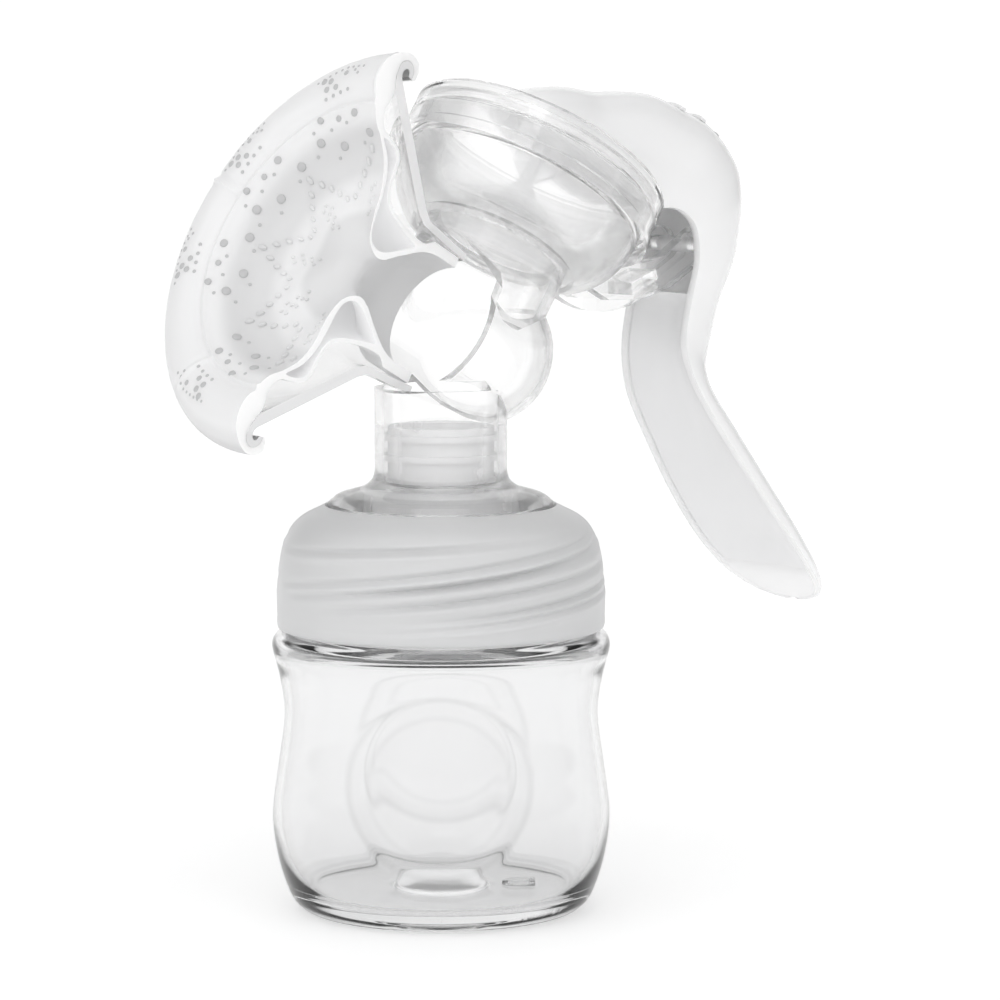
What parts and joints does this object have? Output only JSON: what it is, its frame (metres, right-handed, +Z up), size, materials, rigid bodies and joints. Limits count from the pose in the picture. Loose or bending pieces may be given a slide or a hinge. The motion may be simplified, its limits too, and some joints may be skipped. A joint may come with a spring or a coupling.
{
  "type": "manual breast pump",
  "caption": "Hand-squeezed breast pump with a cushioned funnel, diaphragm chamber and lever handle, screwed on a wide-neck feeding bottle.",
  "frame": {"origin": "centre of the bottle's foot, on the surface it stands on", "axes": "+Z up along the bottle's axis; the funnel points to -X and the squeeze handle to +X; the pump's mirror plane is y = 0"},
  "size_m": [0.1508, 0.0767, 0.1698],
  "materials": {
    "clear_bottle": "clear, polished",
    "clear_body": "clear, polished",
    "frosted_collar": "frosted, satin",
    "silicone": "translucent silicone",
    "milky_plastic": "milky translucent",
    "white_plastic": "glossy white"
  },
  "bodies": {
    "bottle": {"bottle": "clear_bottle"},
    "pump_body": {"pump_body": "clear_body", "funnel_shell": "clear_body", "massage_cushion": "silicone", "chamber_bowl": "clear_body", "chamber_ring": "clear_body", "diaphragm": "silicone", "hinge_bracket": "clear_body", "support_web": "clear_body", "valve_seat": "milky_plastic", "valve_cup": "milky_plastic", "valve_flap": "silicone", "neck_seal": "silicone"},
    "collar": {"screw_collar": "frosted_collar"},
    "stem": {"stem": "milky_plastic", "stem_foot": "milky_plastic"},
    "handle": {"handle_shell": "white_plastic", "handle_cover": "white_plastic", "pivot_pin": "milky_plastic", "stem_yoke": "white_plastic", "grip_ribs": "white_plastic"}
  },
  "joints": [
    {"name": "lift", "type": "slide", "parent": "bottle", "child": "pump_body", "axis": [0, 0, 1], "range_m": [0, 0.005]},
    {"name": "collar_turn", "type": "hinge", "parent": "pump_body", "child": "collar", "pos_m": [0, 0, 0.066], "axis": [0, 0, 1], "range_deg": [0, 450]},
    {"name": "handle_squeeze", "type": "hinge", "parent": "pump_body", "child": "handle", "pos_m": [0.064, 0, 0.13], "axis": [0, 1, 0], "range_deg": [0, 15], "stiffness_Nm_per_rad": 1},
    {"name": "stem_lift", "type": "slide", "parent": "pump_body", "child": "stem", "axis": [0.5519, 0, 0.8339], "range_m": [0, 0.0113], "deforming": ["diaphragm"]}
  ],
  "couplings": [
    {"joint": "collar_turn", "follows": "lift", "rad_per_m": 1570.8},
    {"joint": "stem_lift", "follows": "handle_squeeze", "m_per_rad": 0.0428}
  ]
}
